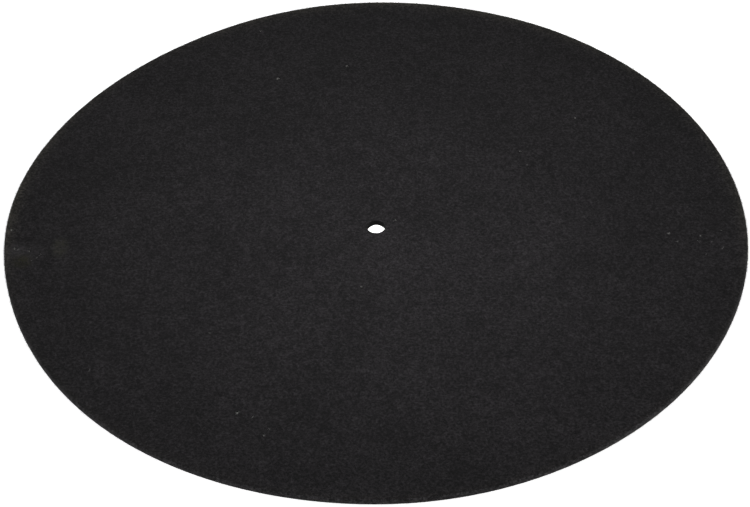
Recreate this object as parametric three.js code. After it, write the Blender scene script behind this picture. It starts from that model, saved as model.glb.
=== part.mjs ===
// Turntable platter mat: one flat ring of black felt, die-cut from a single sheet.
// The mat lies on the platter, the spindle stands up through its hole and a record lies on top.
// Units are millimetres and +Z is up. The origin is the centre of the spindle hole on the underside.
import * as THREE from "three";

// The sheet and the two cuts
const MAT_DIAMETER = 300; // covers the platter of a twelve-inch turntable
const FELT_THICKNESS = 2;
const SPINDLE_DIAMETER = 7.2; // the turntable's centre pin
const SPINDLE_CLEARANCE = 0.05; // all round the pin

// A cutting die draws in the lip where it enters the felt, and leaves the lip where it comes out sharper
const RIM_UPPER_ROUND = 0.55;
const RIM_LOWER_ROUND = 0.2;

// The hole is punched by a small tube, which draws the felt in less
const HOLE_UPPER_ROUND = 0.2;
const HOLE_LOWER_ROUND = 0.1;

// Fineness of the facets
const TURN_STEPS = 180; // round the whole circle
const LIP_STEPS = 2; // along half of a rounded lip

const FELT_COLOUR = 0x252426;
const FELT_ROUGHNESS = 0.95;

// The closed section of the ring. Its first axis is the distance from the spindle's axis and its second
// is the height above the platter. It runs along the underside, up the rim, back over the top and down
// the hole's wall, with a quarter circle at each lip.
function feltSection() {
  const rim = MAT_DIAMETER / 2;
  const hole = SPINDLE_DIAMETER / 2 + SPINDLE_CLEARANCE;
  const top = FELT_THICKNESS;
  const quarter = Math.PI / 2;
  const section = new THREE.Path();
  const lip = (radius, height, round, corner) =>
    section.absarc(radius, height, round, corner * quarter, (corner + 1) * quarter);
  lip(hole + HOLE_LOWER_ROUND, HOLE_LOWER_ROUND, HOLE_LOWER_ROUND, 2);
  lip(rim - RIM_LOWER_ROUND, RIM_LOWER_ROUND, RIM_LOWER_ROUND, 3);
  lip(rim - RIM_UPPER_ROUND, top - RIM_UPPER_ROUND, RIM_UPPER_ROUND, 0);
  lip(hole + HOLE_UPPER_ROUND, top - HOLE_UPPER_ROUND, HOLE_UPPER_ROUND, 1);
  section.closePath();
  return section.getPoints(LIP_STEPS);
}

// The section turned once round the spindle's axis
function platterMat() {
  const ring = new THREE.LatheGeometry(feltSection(), TURN_STEPS);
  ring.rotateX(Math.PI / 2); // the lathe turns about Y, and the mat's axis is Z
  const felt = new THREE.MeshStandardMaterial({
    color: FELT_COLOUR,
    roughness: FELT_ROUGHNESS,
    metalness: 0,
  });
  const mat = new THREE.Mesh(ring, felt);
  mat.name = "platter_mat";
  return mat;
}

const turntableMat = new THREE.Group();
turntableMat.add(platterMat());

export default turntableMat;
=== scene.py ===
"""Turntable platter mat: one disc of near-black pressed felt with a punched spindle hole.

The felt is one closed mesh, with the lips that the cutting die drew in and the unevenness of pressed wool.
Loose fibres lie on its face and stand out of its cut edges. Lint and a rubbed patch show that it has been
used.
Its cut rim is paler, partly for its cut fibres and partly as painted light, a band of painted light runs
along the rim, palest at the back, and the hole's wall and the fibres in it are darkened as painted shade.
Every size is in metres, and the mat lies where the packed frame has it.
"""

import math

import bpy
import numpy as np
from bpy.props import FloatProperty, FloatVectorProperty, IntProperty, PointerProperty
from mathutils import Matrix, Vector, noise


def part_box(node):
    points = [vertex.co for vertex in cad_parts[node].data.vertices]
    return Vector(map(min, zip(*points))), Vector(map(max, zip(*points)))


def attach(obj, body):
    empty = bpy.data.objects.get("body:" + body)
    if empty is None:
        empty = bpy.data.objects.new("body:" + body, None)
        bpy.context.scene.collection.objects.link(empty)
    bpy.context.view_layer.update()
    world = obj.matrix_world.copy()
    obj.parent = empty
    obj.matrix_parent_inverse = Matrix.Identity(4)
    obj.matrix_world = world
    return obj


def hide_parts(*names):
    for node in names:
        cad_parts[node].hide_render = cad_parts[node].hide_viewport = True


bl_info = {
    "name": "Turntable platter mat",
    "version": (1, 0, 0),
    "blender": (4, 5, 0),
    "location": "3D View > Sidebar > Platter Mat",
    "description": "Builds a die-cut felt platter mat with its loose fibres and lint, on a white floor",
    "category": "Add Mesh",
}

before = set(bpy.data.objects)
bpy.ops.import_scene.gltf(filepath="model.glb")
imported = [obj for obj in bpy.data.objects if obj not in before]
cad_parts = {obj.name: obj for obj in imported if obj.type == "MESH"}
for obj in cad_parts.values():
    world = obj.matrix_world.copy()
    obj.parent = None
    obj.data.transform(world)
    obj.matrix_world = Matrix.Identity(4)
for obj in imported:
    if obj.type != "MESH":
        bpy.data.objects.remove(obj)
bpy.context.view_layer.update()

# The packed mat, which gives the felt its sizes
MAT_NODE = "platter_mat"
MAT_BODY = "root"
MAT_LOW, MAT_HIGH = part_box(MAT_NODE)
HOLE_RADIUS = min(v.co.xy.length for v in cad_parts[MAT_NODE].data.vertices)

LOOSE_NAP = 0.0001  # how far the felt's loose face stands above its pressed body

BAKE_MAP = "OFBake"  # the map of a piece that its finish is baked to
MM = 0.001
TURN = 2 * math.pi  # a whole turn, in radians

# How the soft disc has been eased out of round: crests in one turn, their height, and the bearing of one in
# degrees. The first entry has no crests, and is what the disc has drawn in all round.
ROUNDNESS = (
    (0, -0.04 * MM, 0),
    (1, 0.23 * MM, 102),
    (2, 0.20 * MM, 74),
    (3, 0.51 * MM, 74),
    (4, 0.31 * MM, 87),
    (5, 0.24 * MM, 21),
    (6, 0.21 * MM, 46),
    (7, 0.06 * MM, 10),
    (8, 0.05 * MM, 4),
    (9, 0.03 * MM, 18),
    (10, 0.05 * MM, 30),
)

# How the soft hole has changed since it was punched
HOLE_OPENING = 0.07 * MM  # how far it has opened, all round
HOLE_OVAL = 0.045 * MM  # how much more than that in front of and behind its middle, and less at its sides
HOLE_LOWER_SQUARE = 0.12 * MM  # how far its lower lip has gone four-sided
HOLE_UPPER_SHIFT = 0.09 * MM  # how far back its upper lip has been carried
HOLE_LOWER_SHIFT = -0.36 * MM  # the same for its lower lip, which has come forward

# Lint on the mat: how far right of and behind the spindle hole it lies, and how long its threads are
# together, in millimetres
LINT = (
    (-54.3, -103.2, 18.9),
    (-40.7, 97.9, 9.3),
    (85.4, 65.7, 6.6),
    (-6.5, -35.3, 6.8),
    (-44.1, -115.1, 4.5),
    (130.3, -10.9, 5.7),
    (7.8, 3.8, 4.8),
    (-48.5, 131.8, 5.2),
    (-111.4, -78.0, 2.2),
    (117.7, -9.1, 7.4),
    (120.6, -13.9, 3.6),
    (-148.2, 4.1, 5.9),
    (-10.8, 105.2, 5.4),
    (61.0, 44.8, 4.0),
    (63.3, 36.0, 1.4),
    (-11.3, -40.3, 0.9),
    (-48.3, -105.5, 2.2),
    (-42.4, -112.1, 2.8),
    (-34.8, -118.9, 0.4),
    (-65.9, -59.2, 2.3),
    (-106.2, 10.0, 0.8),
    (134.4, -14.8, 1.4),
    (138.3, -18.5, 1.2),
    (78.2, 17.6, 0.7),
    (129.2, -14.0, 2.9),
    (131.2, -22.2, 1.8),
    (139.0, -8.1, 1.2),
    (-145.9, -7.3, 5.8),
    (-140.3, -8.9, 4.1),
    (-135.4, -11.3, 1.9),
    (-139.6, -6.6, 1.5),
    (-144.5, -7.6, 3.9),
    (-136.7, -13.4, 0.7),
    (-138.3, -14.5, 1.2),
)


def length(name, description, default):
    """A size that the sidebar shows in the scene's unit of length."""
    return FloatProperty(name=name, description=description, default=default, unit="LENGTH", precision=5)


def amount(name, description, default, **settings):
    """A number that is no length, such as a share or a lamp's power."""
    return FloatProperty(name=name, description=description, default=default, **settings)


def number_of(name, description, default):
    """How many there are of something, or the start of its random draws."""
    return IntProperty(name=name, description=description, default=default)


def colour(name, description, default):
    """A colour of a surface, as scene-linear red, green and blue."""
    return FloatVectorProperty(
        name=name, description=description, default=default, subtype="COLOR", size=3, min=0, max=1
    )


class FeltShape(bpy.types.PropertyGroup):
    """The sizes of the felt disc"""

    diameter: length("Diameter", "Across the mat, from rim to rim", MAT_HIGH.x - MAT_LOW.x)
    thickness: length("Thickness", "Thickness of the felt", MAT_HIGH.z - MAT_LOW.z + LOOSE_NAP)
    hole_diameter: length("Hole", "Across the spindle hole", 2 * HOLE_RADIUS)
    rim_upper_round: length("Rim upper lip", "Rounding of the rim where the die entered", 0.9 * MM)
    rim_lower_round: length("Rim lower lip", "Rounding of the rim where the die came out", 0.2 * MM)
    hole_upper_round: length("Hole upper lip", "Rounding of the hole where the punch entered", 0.08 * MM)
    hole_lower_round: length("Hole lower lip", "Rounding of the hole where the punch came out", 0.08 * MM)
    face_step: length("Face step", "Distance between the rings of points on the upper face", 1.1 * MM)
    back_step: length("Back step", "Distance between the rings of points on the underside", 3.0 * MM)
    swell_height: length("Swell height", "Height of the broad swells of the face", 0.09 * MM)
    swell_length: length("Swell length", "Distance between the broad swells", 26 * MM)
    dimple_height: length("Dimple height", "Depth of the dimples of the face", 0.05 * MM)
    dimple_length: length("Dimple length", "Distance between the dimples", 4.5 * MM)
    cut_height: length("Cut unevenness", "How far the cut walls wander in and out", 0.05 * MM)
    cut_length: length("Cut wander", "Distance over which the cut walls wander", 2.4 * MM)


class FibreShape(bpy.types.PropertyGroup):
    """The sizes and numbers of the loose fibres"""

    seed: number_of("Seed", "Start of the random draws", 12)
    diameter: length("Fibre diameter", "Thickness of one strand of wool", 0.055 * MM)
    nap_count: number_of("Nap fibres", "Short fibres lying in the face", 16000)
    nap_length: length("Nap length", "Usual length of a short fibre", 1.9 * MM)
    nap_rise: length("Nap rise", "How far a short fibre stands out of the face", 0.07 * MM)
    stray_count: number_of("Stray fibres", "Long fibres lying on the face", 3200)
    stray_length: length("Stray length", "Usual length of a long fibre", 6.5 * MM)
    stray_rise: length("Stray rise", "How far a long fibre stands out of the face", 0.14 * MM)
    rim_count: number_of("Rim fibres", "Cut fibres standing out of the rim", 32000)
    hole_count: number_of("Hole fibres", "Cut fibres standing into the hole", 220)
    fuzz_length: length("Fuzz length", "Greatest length of a cut fibre", 1.1 * MM)


class LintShape(bpy.types.PropertyGroup):
    """The sizes of the lint"""

    seed: number_of("Seed", "Start of the random draws", 31)
    thread_diameter: length("Thread diameter", "Thickness of a thread of lint", 0.05 * MM)
    thread_length: length("Thread length", "Usual length of a thread of lint", 0.4 * MM)
    scatter: length("Scatter", "How far the threads of one speck lie apart", 0.3 * MM)
    rise: length("Rise", "How far a speck of lint stands off the felt", 0.2 * MM)


class MatColours(bpy.types.PropertyGroup):
    """The colours of the felt and of what lies on it"""

    felt_deep: colour("Felt deep", "Colour between the felt's fibres", (0.0038, 0.0034, 0.0038))
    felt_pale: colour("Felt pale", "Colour of the felt's raised fibres", (0.0390, 0.0352, 0.0390))
    fibre_deep: colour("Fibre deep", "Darkest colour of the loose fibres", (0.016, 0.0145, 0.016))
    fibre_pale: colour("Fibre pale", "Palest colour of the loose fibres", (0.065, 0.060, 0.065))
    lint_deep: colour("Lint deep", "Darkest colour of the lint", (0.26, 0.26, 0.25))
    lint_pale: colour("Lint pale", "Palest colour of the lint", (0.58, 0.58, 0.56))
    # The tint of the paler cut rim, whose paleness is partly its cut fibres and partly painted light
    rim_wall_tint: colour("Rim wall tint", "Tint that the cut rim adds to the felt", (0.90, 1.0, 0.96))
    # The tint of the painted light in the band along the rim
    lit_band_tint: colour("Lit band tint", "Tint that the band along the rim adds to the felt", (0.96, 1.0, 0.60))
    dust: colour("Dust", "Colour of the dust in the rubbed patch", (0.064, 0.061, 0.064))
    pale_stain: colour("Pale stain", "Colour of the paler stain", (0.054, 0.054, 0.038))
    deep_stain: colour("Deep stain", "Colour of the darker stain", (0.030, 0.030, 0.009))
    grain: length("Grain", "Distance between the knots of the felt's fibres", 1.05 * MM)
    clump: length("Clump", "Distance between the paler clumps of the felt", 4 * MM)
    # The cut rim is paler partly for its cut fibres and partly as painted light on it
    rim_paleness: amount("Rim paleness", "How many times paler the cut rim is than the face", 2.1)
    # Painted shade: the hole's wall keeps only this share of the face's colour
    painted_hole_shade: amount("Hole shade", "How many times paler the hole's wall is than the face", 0.04)
    # The band along the rim is painted light: its breadth, and how strong it is in front and at the back
    lit_band_breadth: length("Lit band", "Breadth of the paler band of the face along the rim", 14 * MM)
    front_band_light: amount("Front band light", "How much paler the band is than the face, in front", 0.3)
    back_band_light: amount("Back band light", "How much paler the band is than the face, at the back", 2.0)


class StageLook(bpy.types.PropertyGroup):
    """The floor, the lamps and the camera"""

    floor_colour: colour("Floor", "Colour of the floor", (0.9, 0.9, 0.9))
    floor_glow: amount("Floor glow", "Light that only the camera sees on the floor", 0.925)
    room_light: amount("Room light", "Even light from all round", 0.090)
    overhead_height: length("Overhead height", "Height of the lamp above the mat", 0.2)
    overhead_power: amount("Overhead lamp", "Power of the lamp above the mat", 0.342, unit="POWER")
    right_power: amount("Right lamp", "Power of the low lamp on the right", 2.9, unit="POWER")
    left_power: amount("Left lamp", "Power of the low lamp on the left", 2.65, unit="POWER")
    front_power: amount("Front lamp", "Power of the low lamp in front", 2.4, unit="POWER")
    back_power: amount("Back lamp", "Power of the low lamp at the back", 1.2, unit="POWER")
    camera_distance: length("Camera distance", "From the camera to the point it looks at", 1080.4 * MM)
    camera_elevation: amount(
        "Camera elevation", "Angle of the camera above the horizon", math.radians(42.33), subtype="ANGLE"
    )
    camera_roll: amount(
        "Camera roll", "Turn of the camera about its own axis", math.radians(-1.6), subtype="ANGLE"
    )
    camera_lens: amount("Camera lens", "Focal length in millimetres", 129.0, unit="CAMERA")


# Shapes


def random_source(seed):
    """The random numbers of one piece, the same in every run."""
    return np.random.default_rng(seed)


# The noises of the shapes, each with a seed of its own, and how far a seed shifts a noise, in bumps
SWELL_SEED = 1
DIMPLE_SEED = 2
CUT_SEED = 3
SEED_SHIFT = (7.3, 3.1, 1.7)


def smooth_noise(points, size, seed):
    """Noise from about -1 to 1 at each point, with bumps about size apart."""
    shift = Vector([step * seed for step in SEED_SHIFT])
    return np.array([noise.noise(Vector(p) / size + shift) for p in points])


def polar(points):
    """How far each point lies from the spindle's axis, and its bearing round it."""
    return np.hypot(points[:, 0], points[:, 1]), np.arctan2(points[:, 1], points[:, 0])


def on_rings(radius, bearing, height):
    """The points at those radii, bearings and heights."""
    return np.stack([radius * np.cos(bearing), radius * np.sin(bearing), height], axis=-1)


def eased(points, shape):
    """The points carried in or out with the disc, whose rim and hole are slightly out of round."""
    radius, bearing = polar(points)
    rim_ease = sum(
        height * np.cos(crests * (bearing - math.radians(crest_bearing)))
        for crests, height, crest_bearing in ROUNDNESS
    )
    high = np.clip(points[:, 2] / shape.thickness, 0, 1)
    four_sided = (1 - high) * HOLE_LOWER_SQUARE * np.cos(4 * bearing)
    hole_ease = HOLE_OPENING - HOLE_OVAL * np.cos(2 * bearing) + four_sided
    near_rim = (radius / (shape.diameter / 2)) ** 2
    near_hole = np.minimum(1, shape.hole_diameter / 2 / radius) ** 2
    out = on_rings(1, bearing, np.zeros(len(points)))
    moved = points + out * (rim_ease * near_rim + hole_ease * near_hole)[:, None]
    moved[:, 1] += near_hole * (HOLE_LOWER_SHIFT + (HOLE_UPPER_SHIFT - HOLE_LOWER_SHIFT) * high)
    return moved


def face_height(points, shape):
    """How far the upper face lies above its mean height at each point."""
    flat = points * (1, 1, 0)
    swells = shape.swell_height * smooth_noise(flat, shape.swell_length, SWELL_SEED)
    dimples = shape.dimple_height * smooth_noise(flat, shape.dimple_length, DIMPLE_SEED)
    return swells + dimples


def add_object(name, data):
    """A new object in the scene."""
    item = bpy.data.objects.new(name, data)
    bpy.context.scene.collection.objects.link(item)
    return item


def add_piece(name, points, faces, corner_map, material):
    """A smooth mesh object that rides on the mat, with a map for its finish."""
    mesh = bpy.data.meshes.new(name)
    mesh.from_pydata(points.tolist(), [], faces)
    mesh.uv_layers.new(name=BAKE_MAP).data.foreach_set("uv", corner_map.ravel())
    mesh.shade_smooth()
    mesh.materials.append(material)
    piece = add_object(name, mesh)
    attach(piece, MAT_BODY)
    return piece


LIP_STEPS = 5  # along a rounded lip
WALL_STEPS = 4  # up a cut wall
FIRST_COUNT = 72  # points round the hole

# How far from the spindle's axis one ring of points gets twice the points of the ring inside it
FACE_DOUBLES = (15 * MM, 30 * MM, 60 * MM, 120 * MM)
BACK_DOUBLES = (37 * MM, 75 * MM, 147.5 * MM, 149 * MM)
BACK_LAST_STEP = 0.3 * MM  # from the last doubling to the ring of points after it


def ring_count(radius, doubles):
    """How many points the ring of that radius has."""
    return FIRST_COUNT * 2 ** sum(radius > at for at in doubles)


def lip(edge, level, size, quarter):
    """The points round the section's corner at edge and level, from the quarter turn given to the next."""
    radius = edge - size if quarter in (0, 3) else edge + size
    height = level - size if quarter in (0, 1) else level + size
    angles = [(quarter + step / LIP_STEPS) * math.pi / 2 for step in range(LIP_STEPS + 1)]
    return [(radius + size * math.cos(a), height + size * math.sin(a)) for a in angles]


def between(start, end, step):
    """Evenly spaced values between start and end, about step apart, without the two ends."""
    parts = max(1, round(abs(end - start) / step))
    return [start + (end - start) * part / parts for part in range(1, parts)]


def felt_rings(shape):
    """The rings of the felt's closed section, as (radius, height, count), for back, rim, face and hole."""
    rim = shape.diameter / 2
    hole = shape.hole_diameter / 2
    top = shape.thickness
    hole_low = lip(hole, 0, shape.hole_lower_round, 2)
    rim_low = lip(rim, 0, shape.rim_lower_round, 3)
    rim_high = lip(rim, top, shape.rim_upper_round, 0)
    hole_high = lip(hole, top, shape.hole_upper_round, 1)

    back_end = BACK_DOUBLES[-2] - shape.back_step / 2
    back = [(radius, 0) for radius in between(hole_low[-1][0], back_end, shape.back_step)]
    back += [(sum(BACK_DOUBLES[-2:]) / 2, 0), (BACK_DOUBLES[-1] + BACK_LAST_STEP, 0)]
    rim_wall = [(rim, z) for z in between(rim_low[-1][1], rim_high[0][1], top / WALL_STEPS)]
    face = [(radius, top) for radius in between(rim_high[-1][0], hole_high[0][0], shape.face_step)]
    hole_wall = [(hole, z) for z in between(hole_high[-1][1], hole_low[0][1], top / WALL_STEPS)]

    def rings(points, doubles):
        return [(r, z, ring_count(r, doubles)) for r, z in points]

    return (
        rings([hole_low[-1]] + back + [rim_low[0]], BACK_DOUBLES),
        rings(rim_low[1:] + rim_wall + rim_high[:-1], FACE_DOUBLES),
        rings([rim_high[-1]] + face + [hole_high[0]], FACE_DOUBLES),
        rings(hole_high[1:] + hole_wall + hole_low[:-1], FACE_DOUBLES),
    )


def bridge(first, first_count, second, second_count):
    """Faces between two rings of points, whose counts are the same or one the double of the other."""
    a = [first + i for i in range(first_count)] + [first]
    b = [second + i for i in range(second_count)] + [second]
    if first_count == second_count:
        return [(a[i], a[i + 1], b[i + 1], b[i]) for i in range(first_count)]
    faces = []
    for i in range(min(first_count, second_count)):
        if first_count < second_count:
            faces.append((a[i], b[2 * i + 1], b[2 * i]))
            faces.append((a[i], a[i + 1], b[2 * i + 1]))
            faces.append((a[i + 1], b[2 * i + 2], b[2 * i + 1]))
        else:
            faces.append((a[2 * i], a[2 * i + 1], b[i]))
            faces.append((a[2 * i + 1], b[i + 1], b[i]))
            faces.append((a[2 * i + 1], a[2 * i + 2], b[i + 1]))
    return faces


def ring_points(rings):
    """The points of all the rings, one ring after another."""
    return np.concatenate(
        [on_rings(r, np.arange(count) * TURN / count, np.full(count, z)) for r, z, count in rings]
    )


# The felt's map: the breadth of the face with its walls unrolled round it, and that of the back beside it
FACE_SPAN = 0.74
BACK_SPAN = 0.40


def felt_map(points, rings, shape):
    """Each point's place on the map, once for the face and its walls and once for the back."""
    reach = np.concatenate([np.full(count, path) for path, count in unrolled(rings, shape)])
    radius, bearing = polar(points)
    outward = np.stack([np.cos(bearing), np.sin(bearing)], axis=1)
    face = outward * (reach / reach.max() * FACE_SPAN / 2)[:, None] + FACE_SPAN / 2
    back = 1 - BACK_SPAN / 2 + outward * (radius / shape.diameter * BACK_SPAN)[:, None] * (1, -1)
    return face, back


def unrolled(rings, shape):
    """How far each ring lies from the spindle's axis once the walls are unrolled level with the face."""
    edge = shape.diameter / 2 - shape.rim_upper_round
    start = next(i for i, ring in enumerate(rings) if ring[1] == shape.thickness and ring[0] <= edge)
    steps = [math.dist(a[:2], b[:2]) for a, b in zip(rings, rings[1:])]
    return [
        (edge - math.copysign(sum(steps[min(i, start):max(i, start)]), i - start), ring[2])
        for i, ring in enumerate(rings)
    ]


def build_felt(shape, material):
    """The felt disc as one closed mesh."""
    runs = felt_rings(shape)
    rings = [ring for run in runs for ring in run]
    flat = ring_points(rings)

    starts = np.cumsum([0] + [ring[2] for ring in rings])
    back_faces = []
    face_faces = []
    for i, ring in enumerate(rings):
        after = (i + 1) % len(rings)
        faces = bridge(int(starts[i]), ring[2], int(starts[after]), rings[after][2])
        (back_faces if i < len(runs[0]) - 1 else face_faces).extend(faces)

    face_map, back_map = felt_map(flat, rings, shape)
    mapped = ((back_map, back_faces), (face_map, face_faces))
    corner_map = np.concatenate([place[[c for face in faces for c in face]] for place, faces in mapped])

    points = flat.copy()
    points[:, 2] += face_height(flat, shape) * np.clip(flat[:, 2] / shape.thickness, 0, 1)
    wall_runs = (1, 3)  # the rim and the hole
    on_wall = np.concatenate(
        [np.full(ring[2], float(number in wall_runs)) for number, run in enumerate(runs) for ring in run]
    )
    wander = shape.cut_height * smooth_noise(flat, shape.cut_length, CUT_SEED) * on_wall
    radius = np.hypot(flat[:, 0], flat[:, 1])
    points[:, :2] *= (1 + wander / radius)[:, None]
    return add_piece("felt_mat", eased(points, shape), back_faces + face_faces, corner_map, material)


STEEP = 0.8  # a tube that starts steeper than this, of 1 for upright, has its sides set out from the X axis
CELL_MARGIN = 0.3  # round each tube's map, in steps from one of its points to the next


def tube_faces(stations, sides):
    """Faces of one closed tube with pointed ends, each face as (station, side) corners."""
    faces = []
    last = stations - 1
    for side in range(sides):
        faces.append(((0, side), (1, side + 1), (1, side)))
        for station in range(1, last - 1):
            faces.append(
                ((station, side), (station, side + 1), (station + 1, side + 1), (station + 1, side))
            )
        faces.append(((last, side), (last - 1, side), (last - 1, side + 1)))
    return faces


def build_tubes(name, paths, radii, sides, material):
    """One mesh of closed tubes: paths holds the points of each tube's middle, and radii its thickness."""
    count, stations = paths.shape[:2]
    along = np.gradient(paths, axis=1)
    along /= np.linalg.norm(along, axis=2, keepdims=True)
    upright = np.where(np.abs(along[:, :1, 2:]) > STEEP, (1.0, 0.0, 0.0), (0.0, 0.0, 1.0))
    across = np.cross(upright, along)
    across /= np.linalg.norm(across, axis=2, keepdims=True)
    above = np.cross(along, across)
    turn = np.arange(sides) * TURN / sides
    spokes = across[:, :, None] * np.cos(turn)[:, None] + above[:, :, None] * np.sin(turn)[:, None]
    walls = paths[:, :, None] + spokes * radii[:, None, None, None]
    inner = walls[:, 1:-1].reshape(count, -1, 3)
    points = np.concatenate([paths[:, :1], inner, paths[:, -1:]], axis=1)

    def place(station, side):
        if station == 0:
            return 0
        if station == stations - 1:
            return 1 + (stations - 2) * sides
        return 1 + (station - 1) * sides + side % sides

    # Each tube has its own cell of the map
    across_cells = math.ceil(math.sqrt(count))
    cell = np.stack([np.arange(count) % across_cells, np.arange(count) // across_cells], axis=1)
    starts = np.arange(count) * points.shape[1]
    template = tube_faces(stations, sides)
    faces = []
    corners = []
    for corner_count in (3, 4):
        kind = [face for face in template if len(face) == corner_count]
        if not kind:
            continue
        index = np.array([[place(*corner) for corner in face] for face in kind])
        faces += (starts[:, None, None] + index).reshape(-1, corner_count).tolist()
        spans = np.array((stations - 1, sides)) + 2 * CELL_MARGIN
        within = (np.array(kind) + CELL_MARGIN) / spans
        corners.append(((cell[:, None, None] + within) / across_cells).reshape(-1, 2))
    return add_piece(name, points.reshape(-1, 3), faces, np.concatenate(corners), material)


# The fibres of the face. Lengths, rises and thicknesses run between two shares of their usual value.
FIBRE_SIDES = 3
FACE_LENGTHS = (0.5, 1.5)

NAP_STATIONS = 4  # points along a fibre
NAP_BEND = 0.45  # how much a fibre turns at each station, in radians
NAP_MARGIN = 0.45  # from the rim, in usual lengths
NAP_RISES = (0.0, 1.0)
NAP_RADII = (0.7, 1.3)
FREE_SHARE = 0.2  # of the fibres have one end free
FREE_RISES = (0.5, 2.5)

STRAY_STATIONS = 9
STRAY_BEND = 0.5
STRAY_MARGIN = 0.8  # from the rim and the hole, in usual lengths
STRAY_RISES = (-0.5, 1.0)
STRAY_RADII = (0.7, 1.2)

# The fuzz of the cut edges, with its angles in radians
FUZZ_STATIONS = 3
FUZZ_ROOT = 0.2 * MM  # how deep a cut fibre starts in the felt
FUZZ_LENGTHS = (0.1, 1.0)  # before they are squared, so that short fibres are the commonest
FUZZ_RADII = (0.6, 1.1)
LIP_SHARE = 0.6  # of the cut fibres grow out of the upper lip, and the rest out of the wall
LIP_TILT = 1.3  # the most that a fibre is tilted up where it grows out of the lip
WALL_FOOT = 0.1  # how far up the wall the lowest fibre grows, as a share of the wall
FUZZ_SPREAD = 0.6  # sideways
FUZZ_TURN = 0.35  # sideways, at each station
FUZZ_LIFT = 0.1  # usual tilt upwards
FUZZ_LIFT_SPREAD = 0.5
FUZZ_LIFT_TURN = 0.3  # up or down, at each station

LINT_SIDES = 4
LINT_STATIONS = 12
LINT_CURL = 0.75  # how much a thread turns at each station, in radians
LINT_LENGTHS = (0.8, 1.2)
LINT_RISES = (0.2, 1.0)
LINT_RADII = (0.7, 1.2)


def on_disc(draw, count, inner, outer):
    """Random points spread evenly between two radii."""
    radius = np.sqrt(draw.uniform(inner**2, outer**2, count))
    turn = draw.uniform(0, TURN, count)
    return on_rings(radius, turn, np.zeros(count))


def wandering(draw, starts, lengths, stations, bend):
    """Level paths from each start, which turn at random by about bend at each station."""
    count = len(starts)
    first = draw.uniform(0, TURN, count)[:, None]
    heading = first + np.cumsum(draw.normal(0, bend, (count, stations)), axis=1)
    step = on_rings(1, heading, np.zeros((count, stations)))
    step *= (lengths / (stations - 1))[:, None, None]
    paths = starts[:, None] + np.cumsum(step, axis=1)
    return paths - paths.mean(axis=1, keepdims=True) + starts[:, None]


def laid_on_felt(paths, rises, shape):
    """The level paths set on the uneven face, each point as far above it as rises says."""
    count, stations = paths.shape[:2]
    flat = paths.reshape(-1, 3)
    height = shape.thickness + face_height(flat, shape)
    points = flat * (1, 1, 0)
    points[:, 2] = height + rises.reshape(-1)
    return eased(points, shape).reshape(count, stations, 3)


def build_nap(shape, fibre, material):
    """Short fibres that lie in the face, with both ends sunk into the felt or one end free."""
    draw = random_source(fibre.seed)
    count = fibre.nap_count
    margin = fibre.nap_length
    starts = on_disc(draw, count, shape.hole_diameter / 2 + margin, shape.diameter / 2 - NAP_MARGIN * margin)
    lengths = fibre.nap_length * draw.uniform(*FACE_LENGTHS, count)
    paths = wandering(draw, starts, lengths, NAP_STATIONS, NAP_BEND)
    rises = np.full((count, NAP_STATIONS), -fibre.diameter)
    rises[:, 1:-1] = fibre.nap_rise * draw.uniform(*NAP_RISES, (count, NAP_STATIONS - 2))
    free = draw.random(count) < FREE_SHARE
    rises[free, -1] = fibre.nap_rise * draw.uniform(*FREE_RISES, free.sum())
    radii = fibre.diameter / 2 * draw.uniform(*NAP_RADII, count)
    return build_tubes("surface_nap", laid_on_felt(paths, rises, shape), radii, FIBRE_SIDES, material)


def build_strays(shape, fibre, material):
    """Long fibres that wander over the face and dip into it."""
    draw = random_source(fibre.seed + 1)
    count = fibre.stray_count
    margin = fibre.stray_length * STRAY_MARGIN
    starts = on_disc(draw, count, shape.hole_diameter / 2 + margin, shape.diameter / 2 - margin)
    lengths = fibre.stray_length * draw.uniform(*FACE_LENGTHS, count)
    paths = wandering(draw, starts, lengths, STRAY_STATIONS, STRAY_BEND)
    rises = fibre.stray_rise * draw.uniform(*STRAY_RISES, (count, STRAY_STATIONS))
    rises[:, 0] = -fibre.diameter
    rises[:, -1] = -fibre.diameter
    radii = fibre.diameter / 2 * draw.uniform(*STRAY_RADII, count)
    return build_tubes("stray_fibres", laid_on_felt(paths, rises, shape), radii, FIBRE_SIDES, material)


def build_fuzz(name, radius, round_size, outward, count, shape, fibre, seed, material):
    """Cut fibres that stand out of one cut wall and its upper lip.

    outward is 1 at the rim and -1 in the hole.
    """
    draw = random_source(seed)
    each_station = (count, FUZZ_STATIONS)
    turn = draw.uniform(0, TURN, count)
    on_lip = draw.random(count) < LIP_SHARE
    tilt = np.where(on_lip, draw.uniform(0, LIP_TILT, count), 0)
    wall_top = shape.thickness - round_size
    on_wall_height = draw.uniform(WALL_FOOT * wall_top, wall_top, count)
    height = np.where(on_lip, wall_top + round_size * np.sin(tilt), on_wall_height)
    reach = radius - outward * (round_size * (1 - np.cos(tilt)) + FUZZ_ROOT * np.cos(tilt))
    root_height = height - FUZZ_ROOT * np.sin(tilt)
    start = on_rings(reach, turn, root_height)
    lengths = FUZZ_ROOT + fibre.fuzz_length * draw.uniform(*FUZZ_LENGTHS, count) ** 2
    first_heading = turn + draw.normal(0, FUZZ_SPREAD, count)
    heading = first_heading[:, None] + np.cumsum(draw.normal(0, FUZZ_TURN, each_station), axis=1)
    first_rising = tilt + draw.normal(FUZZ_LIFT, FUZZ_LIFT_SPREAD, count)
    rising = first_rising[:, None] + np.cumsum(draw.normal(0, FUZZ_LIFT_TURN, each_station), axis=1)
    step = on_rings(outward * np.cos(rising), heading, np.sin(rising))
    step *= (lengths / (FUZZ_STATIONS - 1))[:, None, None]
    step[:, 0] = 0
    paths = start[:, None] + np.cumsum(step, axis=1)
    paths[:, :, 2] = np.maximum(paths[:, :, 2], fibre.diameter)
    paths = eased(paths.reshape(-1, 3), shape).reshape(count, FUZZ_STATIONS, 3)
    radii = fibre.diameter / 2 * draw.uniform(*FUZZ_RADII, count)
    return build_tubes(name, paths, radii, FIBRE_SIDES, material)


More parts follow.
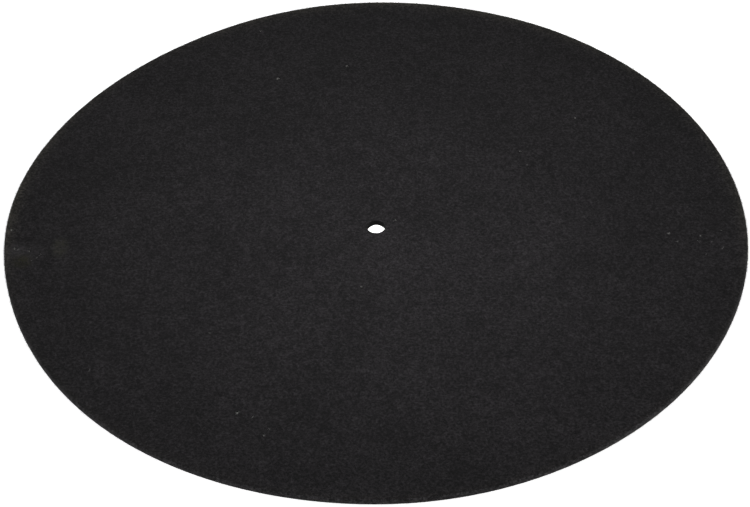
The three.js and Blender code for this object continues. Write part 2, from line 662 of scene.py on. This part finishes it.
def build_lint(shape, lint, material):
    """Specks of lint, each a small tuft of curled threads with random draws of its own."""
    arch = np.sin(np.linspace(0, math.pi, LINT_STATIONS))
    places = np.array([(x * MM, y * MM, 0) for x, y, _ in LINT])
    # Each place is moved back by what easing the disc will carry it
    places -= eased(places, shape) - places
    paths = []
    radii = []
    for number, (place, (_, _, total)) in enumerate(zip(places, LINT)):
        draw = random_source(lint.seed + number)
        count = max(1, round(total * MM / lint.thread_length))
        starts = place + draw.normal(0, lint.scatter, (count, 3)) * (1, 1, 0)
        lengths = total * MM / count * draw.uniform(*LINT_LENGTHS, count)
        curls = wandering(draw, starts, lengths, LINT_STATIONS, LINT_CURL)
        rises = lint.thread_diameter + lint.rise * arch * draw.uniform(*LINT_RISES, (count, 1))
        paths.append(laid_on_felt(curls, rises, shape))
        radii.append(lint.thread_diameter / 2 * draw.uniform(*LINT_RADII, count))
    return build_tubes("lint_specks", np.concatenate(paths), np.concatenate(radii), LINT_SIDES, material)


# Finishes


def give(tree, node, inputs):
    """Sets a node's inputs, by name or place, each to a value or to another node's output."""
    for name, value in inputs.items():
        if isinstance(value, bpy.types.NodeSocket):
            tree.links.new(value, node.inputs[name])
        else:
            node.inputs[name].default_value = value


def add_node(tree, kind, inputs=None, **settings):
    """A new shader node with its settings and inputs."""
    node = tree.nodes.new("ShaderNode" + kind)
    for name, value in settings.items():
        setattr(node, name, value)
    give(tree, node, inputs or {})
    return node


def math_node(tree, operation, first, second=0.0, clamp=False):
    """The result of one sum on two values."""
    inputs = {0: first, 1: second}
    return add_node(tree, "Math", inputs, operation=operation, use_clamp=clamp).outputs[0]


def vector_node(tree, operation, first, second=None, third=None, scale=None):
    """The result of one sum on up to three vectors. LENGTH gives a number."""
    given = enumerate((first, second, third, scale))
    inputs = {place: value for place, value in given if value is not None}
    node = add_node(tree, "VectorMath", inputs, operation=operation)
    return node.outputs["Value" if operation == "LENGTH" else "Vector"]


def noise_node(tree, place, scale, detail, roughness=0.5):
    """The outputs of a noise texture."""
    inputs = {"Vector": place, "Scale": scale, "Detail": detail, "Roughness": roughness}
    return add_node(tree, "TexNoise", inputs).outputs


def object_place(tree):
    """The place on the object, in metres."""
    return add_node(tree, "TexCoord").outputs["Object"]


def blend(tree, factor, first, second):
    """The first colour turning into the second as factor goes from 0 to 1."""
    return add_node(tree, "Mix", {0: factor, 6: first, 7: second}, data_type="RGBA").outputs[2]


def ramp(tree, value, low, high, to_low=0.0, to_high=1.0):
    """The value stretched so that low gives to_low and high gives to_high, and held there beyond."""
    inputs = {"Value": value, "From Min": low, "From Max": high, "To Min": to_low, "To Max": to_high}
    return add_node(tree, "MapRange", inputs, interpolation_type="SMOOTHSTEP").outputs["Result"]


def opaque(rgb):
    """A colour with full alpha, as a colour socket takes it."""
    return (*rgb, 1.0)


def new_group(name, inputs, outputs):
    """An empty node group, its input node and its output node.

    The inputs are given as (name, kind, default) and the outputs as (name, kind).
    """
    group = bpy.data.node_groups.new(name, "ShaderNodeTree")
    for socket_name, kind, default in inputs:
        socket = group.interface.new_socket(socket_name, in_out="INPUT", socket_type="NodeSocket" + kind)
        socket.default_value = default
    for socket_name, kind in outputs:
        group.interface.new_socket(socket_name, in_out="OUTPUT", socket_type="NodeSocket" + kind)
    return group, group.nodes.new("NodeGroupInput"), group.nodes.new("NodeGroupOutput")


def weighted(tree, parts):
    """The sum of some values, each multiplied by its weight."""
    total = 0.0
    for value, weight in parts:
        inputs = {0: value, 1: weight, 2: total}
        total = add_node(tree, "Math", inputs, operation="MULTIPLY_ADD").outputs[0]
    return total


def streaks(tree, place, reach, breadth, bearings):
    """Long thin marks that cross one another: the palest of several layers, one at each bearing in degrees.

    reach and breadth are the length and the thickness of a mark, in the units of the place.
    """
    palest = 0.0
    for bearing in bearings:
        angle = math.radians(bearing)
        turn = add_node(tree, "VectorRotate", {"Vector": place, "Angle": angle}, rotation_type="Z_AXIS")
        squeeze = (1 / reach, 1 / breadth, 1 / breadth)
        shift = (bearing, 0, 0)  # so that no two layers are alike
        drawn_out = vector_node(tree, "MULTIPLY_ADD", turn.outputs["Vector"], squeeze, shift)
        palest = math_node(tree, "MAXIMUM", palest, noise_node(tree, drawn_out, 1.0, 1.0)["Fac"])
    return palest


# The felt's mottle. Its lengths are in grains, which are the distance between the knots of the fibres.
WANDER_SCALE = 0.55  # bends in one grain
WANDER_REACH = (1.1, 1.1, 0.4)  # how far the bends carry the marks
BUNDLE_REACH = 2.2
BUNDLE_BREADTH = 0.55
BUNDLE_BEARINGS = (12, 71, 133)
THREAD_REACH = 1.5
THREAD_BREADTH = 0.13
THREAD_BEARINGS = (0, 38, 97, 152)
TANGLE_ROUGHNESS = 0.6
CLOUD_SCALE = 0.09  # clouds in one clump

# How much each layer of the mottle adds to its paleness and to its height
TONE_WEIGHTS = {"tangle": 0.45, "bundles": 0.36, "threads": 0.5, "clumps": 0.15, "clouds": 0.08}
HEIGHT_WEIGHTS = {"threads": 0.6, "bundles": 0.5, "tangle": 0.3, "clumps": 0.5}

DEEPEST_TONE = 0.794  # the sum that gives the deep colour
PALEST_TONE = 1.037  # the sum that gives the pale colour
LOW_TANGLE = 0.8  # the height from which the felt starts to get rougher
HIGH_TANGLE = 1.4  # and the height where it is roughest


def felt_tone_group():
    """The mottle of tangled fibres: a colour between deep and pale, and the height of the tangle."""
    group, given, result = new_group(
        "Felt tone",
        [
            ("Deep", "Color", (0.01, 0.01, 0.01, 1)),
            ("Pale", "Color", (0.03, 0.03, 0.03, 1)),
            ("Grain", "Float", 0.9 * MM),
            ("Clump", "Float", 4 * MM),
        ],
        [("Color", "Color"), ("Height", "Float")],
    )
    place = object_place(group)
    grain_scale = math_node(group, "DIVIDE", 1.0, given.outputs["Grain"])
    clump_scale = math_node(group, "DIVIDE", 1.0, given.outputs["Clump"])
    cloud_scale = math_node(group, "MULTIPLY", clump_scale, CLOUD_SCALE)
    in_grains = vector_node(group, "SCALE", place, scale=grain_scale)
    wander = noise_node(group, in_grains, WANDER_SCALE, 1.0)["Color"]
    bent = vector_node(group, "MULTIPLY_ADD", wander, WANDER_REACH, in_grains)
    layers = {
        "tangle": noise_node(group, bent, 1.0, 2.0, TANGLE_ROUGHNESS)["Fac"],
        "bundles": streaks(group, bent, BUNDLE_REACH, BUNDLE_BREADTH, BUNDLE_BEARINGS),
        "threads": streaks(group, bent, THREAD_REACH, THREAD_BREADTH, THREAD_BEARINGS),
        "clumps": noise_node(group, place, clump_scale, 2.0)["Fac"],
        "clouds": noise_node(group, place, cloud_scale, 1.0)["Fac"],
    }
    tone = weighted(group, [(layers[name], weight) for name, weight in TONE_WEIGHTS.items()])
    inputs = {"Value": tone, "From Min": DEEPEST_TONE, "From Max": PALEST_TONE}
    paleness = add_node(group, "MapRange", inputs).outputs["Result"]
    tinted = blend(group, paleness, given.outputs["Deep"], given.outputs["Pale"])
    height = weighted(group, [(layers[name], weight) for name, weight in HEIGHT_WEIGHTS.items()])
    give(group, result, {"Color": tinted, "Height": height})
    return group


PATCH_CORE = 0.25  # of a soft patch's reach has its full strength
CRUMB_DETAIL = 4.0
CRUMB_ROUGHNESS = 0.7
CRUMB_RANGE = (0.38, 0.66)  # the noise between which the dust goes from faint to full
FAINT_DUST = 0.25


def soft_patch_group():
    """A soft broken patch on the upper face: 1 in its middle and 0 outside."""
    group, given, result = new_group(
        "Soft patch",
        [
            ("Centre", "Vector", (0, 0, 0)),
            ("Reach", "Vector", (0.01, 0.01, 0.01)),
            ("Breaks", "Float", 1.5 * MM),
        ],
        [("Mask", "Float")],
    )
    place = object_place(group)
    offset = vector_node(group, "SUBTRACT", place, given.outputs["Centre"])
    distance = vector_node(group, "LENGTH", vector_node(group, "DIVIDE", offset, given.outputs["Reach"]))
    body = ramp(group, distance, PATCH_CORE, 1.0, 1.0, 0.0)
    crumb_scale = math_node(group, "DIVIDE", 1.0, given.outputs["Breaks"])
    crumbs = noise_node(group, place, crumb_scale, CRUMB_DETAIL, CRUMB_ROUGHNESS)["Fac"]
    broken = ramp(group, crumbs, *CRUMB_RANGE, FAINT_DUST, 1.0)
    give(group, result, {"Mask": math_node(group, "MULTIPLY", body, broken)})
    return group


# The rubbed patch near the left edge: the middle of each soft spot and its half breadths, both across and
# front to back, what colours it and how strongly
RUBBED_SPOTS = (
    ((-145.6 * MM, -8.0 * MM), (5.5 * MM, 5.5 * MM), "dust", 0.55),
    ((-138.6 * MM, -8.9 * MM), (8.5 * MM, 6.5 * MM), "dust", 0.22),
    ((-127.7 * MM, -7.1 * MM), (4.6 * MM, 8.0 * MM), "pale_stain", 0.5),
    ((-142.4 * MM, -14.6 * MM), (5.4 * MM, 5.4 * MM), "deep_stain", 0.55),
)
RUBBED_HEIGHT = 2 * MM  # of the spots' middles above the underside
RUBBED_DEPTH = 20 * MM  # half the spots' extent up and down, so deep that it colours the rim's wall too


def emptied(owner, output_kind):
    """The node tree of a material or world, with only an output node left in it, and that node."""
    owner.use_nodes = True
    tree = owner.node_tree
    tree.nodes.clear()
    return tree, add_node(tree, output_kind)


def new_material(name):
    """The node tree of a new material, and the shader that is joined to its output."""
    tree, output = emptied(bpy.data.materials.new(name), "OutputMaterial")
    shader = add_node(tree, "BsdfPrincipled")
    give(tree, output, {"Surface": shader.outputs["BSDF"]})
    return tree, shader


def place_group(tree, group, inputs):
    """A node that stands for the group, with its inputs set."""
    return add_node(tree, "Group", inputs, node_tree=group).outputs


def rubbed(tree, patch_group, colours, plain):
    """The plain colour, with dust and stains rubbed into it near the left edge."""
    result = plain
    for centre, reach, stain, strength in RUBBED_SPOTS:
        spot = {"Centre": (*centre, RUBBED_HEIGHT), "Reach": (*reach, RUBBED_DEPTH)}
        mask = place_group(tree, patch_group, spot)["Mask"]
        strong = math_node(tree, "MULTIPLY", mask, strength)
        result = blend(tree, strong, result, opaque(getattr(colours, stain)))
    return result


def felt_tone(tree, groups, deep, pale, grain, clump):
    """The outputs of the mottle between two colours."""
    inputs = {"Deep": opaque(deep), "Pale": opaque(pale), "Grain": grain, "Clump": clump}
    return place_group(tree, groups["tone"], inputs)


def bump(tree, height, strength, distance):
    """The direction of a surface that is raised by the height."""
    inputs = {"Height": height, "Strength": strength, "Distance": distance}
    return add_node(tree, "Bump", inputs).outputs["Normal"]


# The felt: where it counts as a cut wall, and how its band of painted light runs along the rim
WALL_SLOPE = 0.88  # upright part of the surface's direction, below which it is all wall
FACE_SLOPE = 0.994  # and above which it is all face
LIT_BAND_FRONT = -0.3  # in rim radii behind the hole: here the band starts to get paler
LIT_BAND_BACK = 0.15  # and here it is palest
LIT_BAND_FALL = 5.0  # how steeply the band fades inwards
FELT_ROUGHNESS = (0.88, 1.0)  # between its fibres and on them
FELT_BUMP = 0.12 * MM
FELT_GLOSS = 0.12
FELT_SHEEN = 0.06
FELT_SHEEN_ROUGHNESS = 0.6


def felt_material(groups, colours, shape):
    """Pressed felt: mottled near-black, soft sheen, dusty where rubbed; painted light on the rim, painted
    shade in the hole.
    """
    tree, shader = new_material("Pressed felt")
    tone = felt_tone(tree, groups, colours.felt_deep, colours.felt_pale, colours.grain, colours.clump)
    rim = shape.diameter / 2
    hole_breadth = shape.hole_diameter
    place = object_place(tree)
    reach = vector_node(tree, "LENGTH", place)
    backward = add_node(tree, "SeparateXYZ", {0: place}).outputs["Y"]
    direction = add_node(tree, "TexCoord").outputs["Normal"]
    upright = add_node(tree, "SeparateXYZ", {0: direction}).outputs["Z"]

    # The two cut walls, each 1 on the wall and 0 elsewhere
    wall = ramp(tree, math_node(tree, "ABSOLUTE", upright), WALL_SLOPE, FACE_SLOPE, 1.0, 0.0)
    near_hole = ramp(tree, reach, hole_breadth, 2 * hole_breadth, 1.0, 0.0)
    hole_wall = math_node(tree, "MULTIPLY", wall, near_hole)
    rim_wall = math_node(tree, "SUBTRACT", wall, hole_wall)

    # Painted light in a band: 0 at its inner edge to 1 at the rim, and how strong it is from front to back
    band = colours.lit_band_breadth
    outward = math_node(tree, "DIVIDE", math_node(tree, "SUBTRACT", reach, rim - band), band, clamp=True)
    painted_band_light = ramp(tree, backward, LIT_BAND_FRONT * rim, LIT_BAND_BACK * rim, colours.front_band_light, colours.back_band_light)

    # The cut rim's paleness: partly its paler cut fibres, partly painted light
    wall_gain = math_node(tree, "MULTIPLY", rim_wall, colours.rim_paleness - 1)
    band_gain = math_node(tree, "MULTIPLY", math_node(tree, "POWER", outward, LIT_BAND_FALL), painted_band_light)
    tint = (1, 1, 1)
    for colour_added, gain in ((colours.rim_wall_tint, wall_gain), (colours.lit_band_tint, band_gain)):
        tint = vector_node(tree, "MULTIPLY_ADD", colour_added, gain, tint)
    tinted = vector_node(tree, "MULTIPLY", tone["Color"], tint)
    # Painted shade: the hole's wall is darkened to a small share of its colour
    shade = weighted(tree, ((hole_wall, colours.painted_hole_shade - 1), (1.0, 1.0)))
    shaded = vector_node(tree, "SCALE", tinted, scale=shade)
    finish = {
        "Base Color": rubbed(tree, groups["patch"], colours, shaded),
        "Roughness": ramp(tree, tone["Height"], LOW_TANGLE, HIGH_TANGLE, *FELT_ROUGHNESS),
        "Normal": bump(tree, tone["Height"], 1.0, FELT_BUMP),
        "Specular IOR Level": FELT_GLOSS,
        "Sheen Weight": FELT_SHEEN,
        "Sheen Roughness": FELT_SHEEN_ROUGHNESS,
    }
    give(tree, shader, finish)


# The loose fibres: their mottle is coarser than the felt's, and in the hole painted shade makes them nearly
# as dark
FIBRE_GRAIN = 2.5  # times the felt's grain
FIBRE_CLUMP = 2  # times the felt's clump
HOLE_FIBRE_SHADE = 2  # times the painted shade of the hole's wall
HOLE_SHADE_REACH = 1.15  # in hole radii: here the fibres have their full colour again
FIBRE_ROUGHNESS = (0.7, 0.9)
FIBRE_GLOSS = 0.2


def fibre_material(groups, colours, shape):
    """Loose wool fibres: near-black, some of them paler, dusty where the felt was rubbed, in painted shade
    in the hole.
    """
    tree, shader = new_material("Loose fibres")
    grain = FIBRE_GRAIN * colours.grain
    clump = FIBRE_CLUMP * colours.clump
    tone = felt_tone(tree, groups, colours.fibre_deep, colours.fibre_pale, grain, clump)
    hole = shape.hole_diameter / 2
    level = vector_node(tree, "MULTIPLY", object_place(tree), (1, 1, 0))
    reach = vector_node(tree, "LENGTH", level)
    # Painted shade: the fibres in the hole are darkened towards the hole wall's painted shade
    darkest = HOLE_FIBRE_SHADE * colours.painted_hole_shade
    shade = ramp(tree, reach, hole, HOLE_SHADE_REACH * hole, darkest, 1.0)
    shaded = vector_node(tree, "SCALE", tone["Color"], scale=shade)
    finish = {
        "Base Color": rubbed(tree, groups["patch"], colours, shaded),
        "Roughness": ramp(tree, tone["Height"], LOW_TANGLE, HIGH_TANGLE, *FIBRE_ROUGHNESS),
        "Specular IOR Level": FIBRE_GLOSS,
    }
    give(tree, shader, finish)


LINT_GRAIN = 0.5  # times the felt's grain
LINT_ROUGHNESS = 0.9
LINT_BUMP = 0.03 * MM
LINT_BUMP_STRENGTH = 0.6
LINT_GLOSS = 0.2


def lint_material(groups, colours):
    """Pale household lint, greyer in places."""
    tree, shader = new_material("Pale lint")
    grain = LINT_GRAIN * colours.grain
    tone = felt_tone(tree, groups, colours.lint_deep, colours.lint_pale, grain, colours.clump)
    finish = {
        "Base Color": tone["Color"],
        "Normal": bump(tree, tone["Height"], LINT_BUMP_STRENGTH, LINT_BUMP),
        "Roughness": LINT_ROUGHNESS,
        "Specular IOR Level": LINT_GLOSS,
    }
    give(tree, shader, finish)


def finishes():
    """The materials of the mat, built once and then found by name."""
    if "Pressed felt" not in bpy.data.materials:
        scene = bpy.context.scene
        groups = {"tone": felt_tone_group(), "patch": soft_patch_group()}
        felt_material(groups, scene.mat_colours, scene.felt_shape)
        fibre_material(groups, scene.mat_colours, scene.felt_shape)
        lint_material(groups, scene.mat_colours)
    return bpy.data.materials


# Stage


def camera_only(tree, seen, lit):
    """A shader that the camera sees as one and every other ray as another."""
    from_camera = add_node(tree, "LightPath").outputs["Is Camera Ray"]
    return add_node(tree, "MixShader", {0: from_camera, 1: lit, 2: seen}).outputs[0]


def floor_material(look):
    """White paper: plain to the light, with a glow that only the camera sees, so that it renders white."""
    material = bpy.data.materials.new("White floor")
    tree, output = emptied(material, "OutputMaterial")
    paper = add_node(tree, "BsdfDiffuse", {"Color": opaque(look.floor_colour)}).outputs[0]
    glow = add_node(tree, "Emission", {"Strength": look.floor_glow}).outputs[0]
    bright = add_node(tree, "AddShader", {0: paper, 1: glow}).outputs[0]
    give(tree, output, {"Surface": camera_only(tree, bright, paper)})
    return material


FLOOR_REACH = 4.0  # from the mat's middle to the floor's sides
FLOOR_GAP = 0.01 * MM  # under the mat, so that the two faces don't flicker


def build_floor(look):
    """A wide square of floor just under the mat."""
    height = MAT_LOW.z - FLOOR_GAP
    signs = ((-1, -1), (1, -1), (1, 1), (-1, 1))
    corners = [(across * FLOOR_REACH, away * FLOOR_REACH, height) for across, away in signs]
    mesh = bpy.data.meshes.new("floor")
    mesh.from_pydata(corners, [], [(0, 1, 2, 3)])
    mesh.materials.append(floor_material(look))
    add_object("floor", mesh)


def build_room(look):
    """Even light from all round, and white where the camera sees past the floor."""
    world = bpy.data.worlds.new("Room")
    bpy.context.scene.world = world
    tree, output = emptied(world, "OutputWorld")
    white = opaque((1, 1, 1))
    lit = add_node(tree, "Background", {"Color": white, "Strength": look.room_light}).outputs[0]
    seen = add_node(tree, "Background", {"Color": white, "Strength": 1.0}).outputs[0]
    give(tree, output, {"Surface": camera_only(tree, seen, lit)})


def facing(place, target):
    """The turn that points a lamp's or camera's -Z axis from one place at another."""
    return (Vector(target) - Vector(place)).to_track_quat("-Z", "Y")


# The soft lamps: one above the mat, a little in front of its middle, and four low ones round it
OVERHEAD_PLACE = (4 * MM, -26 * MM)
OVERHEAD_SIZE = 0.1
LOW_LAMP_SIZE = 0.16
LOW_LAMP_HEIGHT = 0.08
LOW_LAMPS = {
    "right": (0.85, -0.12),
    "left": (-0.88, 0.02),
    "front": (0.0, -0.9),
    "back": (-0.1, 0.9),
}


def build_lamp(name, place, size, power):
    """A soft round lamp that points at the middle of the mat and is itself unseen."""
    light = bpy.data.lights.new(name, "AREA")
    light.shape = "DISK"
    light.size = size
    light.energy = power
    lamp = add_object(name, light)
    lamp.location = place
    lamp.rotation_mode = "QUATERNION"
    lamp.rotation_quaternion = facing(place, (0, 0, 0))
    lamp.visible_camera = False


CAMERA_TARGET = (-0.78 * MM, -13.64 * MM, 0)  # the point of the mat that it looks at
SENSOR_WIDTH = 36.0  # in millimetres, as the lens is


def build_camera(look):
    """The camera of the photograph, in front of the mat and above it."""
    data = bpy.data.cameras.new("camera")
    data.sensor_width = SENSOR_WIDTH
    data.lens = look.camera_lens
    camera = add_object("camera", data)
    tilt = Matrix.Rotation(math.pi / 2 - look.camera_elevation, 4, "X")
    roll = Matrix.Rotation(look.camera_roll, 4, "Z")
    back = Matrix.Translation((0, 0, look.camera_distance))
    camera.matrix_world = Matrix.Translation(CAMERA_TARGET) @ tilt @ roll @ back
    bpy.context.scene.camera = camera


# Operators


class MAT_OT_add_felt(bpy.types.Operator):
    """Add the felt disc with its punched hole"""

    bl_idname = "platter_mat.add_felt"
    bl_label = "Add Felt Disc"

    def execute(self, context):
        shape = context.scene.felt_shape
        felt = build_felt(shape, finishes()["Pressed felt"])
        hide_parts(MAT_NODE)
        return {"FINISHED"}


class MAT_OT_add_face_fibres(bpy.types.Operator):
    """Add the short nap and the long stray fibres of the upper face"""

    bl_idname = "platter_mat.add_face_fibres"
    bl_label = "Add Face Fibres"

    def execute(self, context):
        scene = context.scene
        material = finishes()["Loose fibres"]
        build_nap(scene.felt_shape, scene.fibre_shape, material)
        build_strays(scene.felt_shape, scene.fibre_shape, material)
        return {"FINISHED"}


class MAT_OT_add_edge_fuzz(bpy.types.Operator):
    """Add the cut fibres that stand out of the rim and into the hole"""

    bl_idname = "platter_mat.add_edge_fuzz"
    bl_label = "Add Edge Fuzz"

    def execute(self, context):
        scene = context.scene
        shape = scene.felt_shape
        fibre = scene.fibre_shape
        material = finishes()["Loose fibres"]
        edges = (
            ("rim_fuzz", shape.diameter, shape.rim_upper_round, 1, fibre.rim_count, fibre.seed + 2),
            ("hole_fuzz", shape.hole_diameter, shape.hole_upper_round, -1, fibre.hole_count, fibre.seed + 3),
        )
        for name, diameter, round_size, outward, count, seed in edges:
            fuzz = build_fuzz(name, diameter / 2, round_size, outward, count, shape, fibre, seed, material)
        return {"FINISHED"}


class MAT_OT_add_lint(bpy.types.Operator):
    """Add the specks of pale lint that lie on the mat"""

    bl_idname = "platter_mat.add_lint"
    bl_label = "Add Lint"

    def execute(self, context):
        scene = context.scene
        build_lint(scene.felt_shape, scene.lint_shape, finishes()["Pale lint"])
        return {"FINISHED"}


class MAT_OT_add_stage(bpy.types.Operator):
    """Add the white floor, the lamps and the camera"""

    bl_idname = "platter_mat.add_stage"
    bl_label = "Add Stage"

    def execute(self, context):
        look = context.scene.stage_look
        context.scene.view_settings.view_transform = "Standard"
        build_floor(look)
        build_room(look)
        overhead = (*OVERHEAD_PLACE, look.overhead_height)
        build_lamp("overhead_lamp", overhead, OVERHEAD_SIZE, look.overhead_power)
        for side, place in LOW_LAMPS.items():
            power = getattr(look, side + "_power")
            build_lamp(side + "_lamp", (*place, LOW_LAMP_HEIGHT), LOW_LAMP_SIZE, power)
        build_camera(look)
        return {"FINISHED"}


class MAT_PT_panel(bpy.types.Panel):
    """The mat's pieces and values in the sidebar"""

    bl_idname = "MAT_PT_panel"
    bl_label = "Platter Mat"
    bl_space_type = "VIEW_3D"
    bl_region_type = "UI"
    bl_category = "Platter Mat"

    def draw(self, context):
        layout = self.layout
        for operator in OPERATORS:
            layout.operator(operator.bl_idname)
        for attribute, group in VALUES.items():
            box = layout.box()
            box.label(text=group.__doc__)
            for name in group.__annotations__:
                box.prop(getattr(context.scene, attribute), name)


OPERATORS = (
    MAT_OT_add_stage,
    MAT_OT_add_felt,
    MAT_OT_add_face_fibres,
    MAT_OT_add_edge_fuzz,
    MAT_OT_add_lint,
)
VALUES = {
    "felt_shape": FeltShape,
    "fibre_shape": FibreShape,
    "lint_shape": LintShape,
    "mat_colours": MatColours,
    "stage_look": StageLook,
}


def register():
    for attribute, group in VALUES.items():
        bpy.utils.register_class(group)
        setattr(bpy.types.Scene, attribute, PointerProperty(type=group))
    for cls in (*OPERATORS, MAT_PT_panel):
        bpy.utils.register_class(cls)


def unregister():
    for cls in (MAT_PT_panel, *reversed(OPERATORS)):
        bpy.utils.unregister_class(cls)
    for attribute, group in reversed(VALUES.items()):
        delattr(bpy.types.Scene, attribute)
        bpy.utils.unregister_class(group)


def main():
    """Builds the stage and the mat."""
    register()
    bpy.ops.platter_mat.add_stage()
    bpy.ops.platter_mat.add_felt()
    bpy.ops.platter_mat.add_face_fibres()
    bpy.ops.platter_mat.add_edge_fuzz()
    bpy.ops.platter_mat.add_lint()


if __name__ == "__main__":
    main()
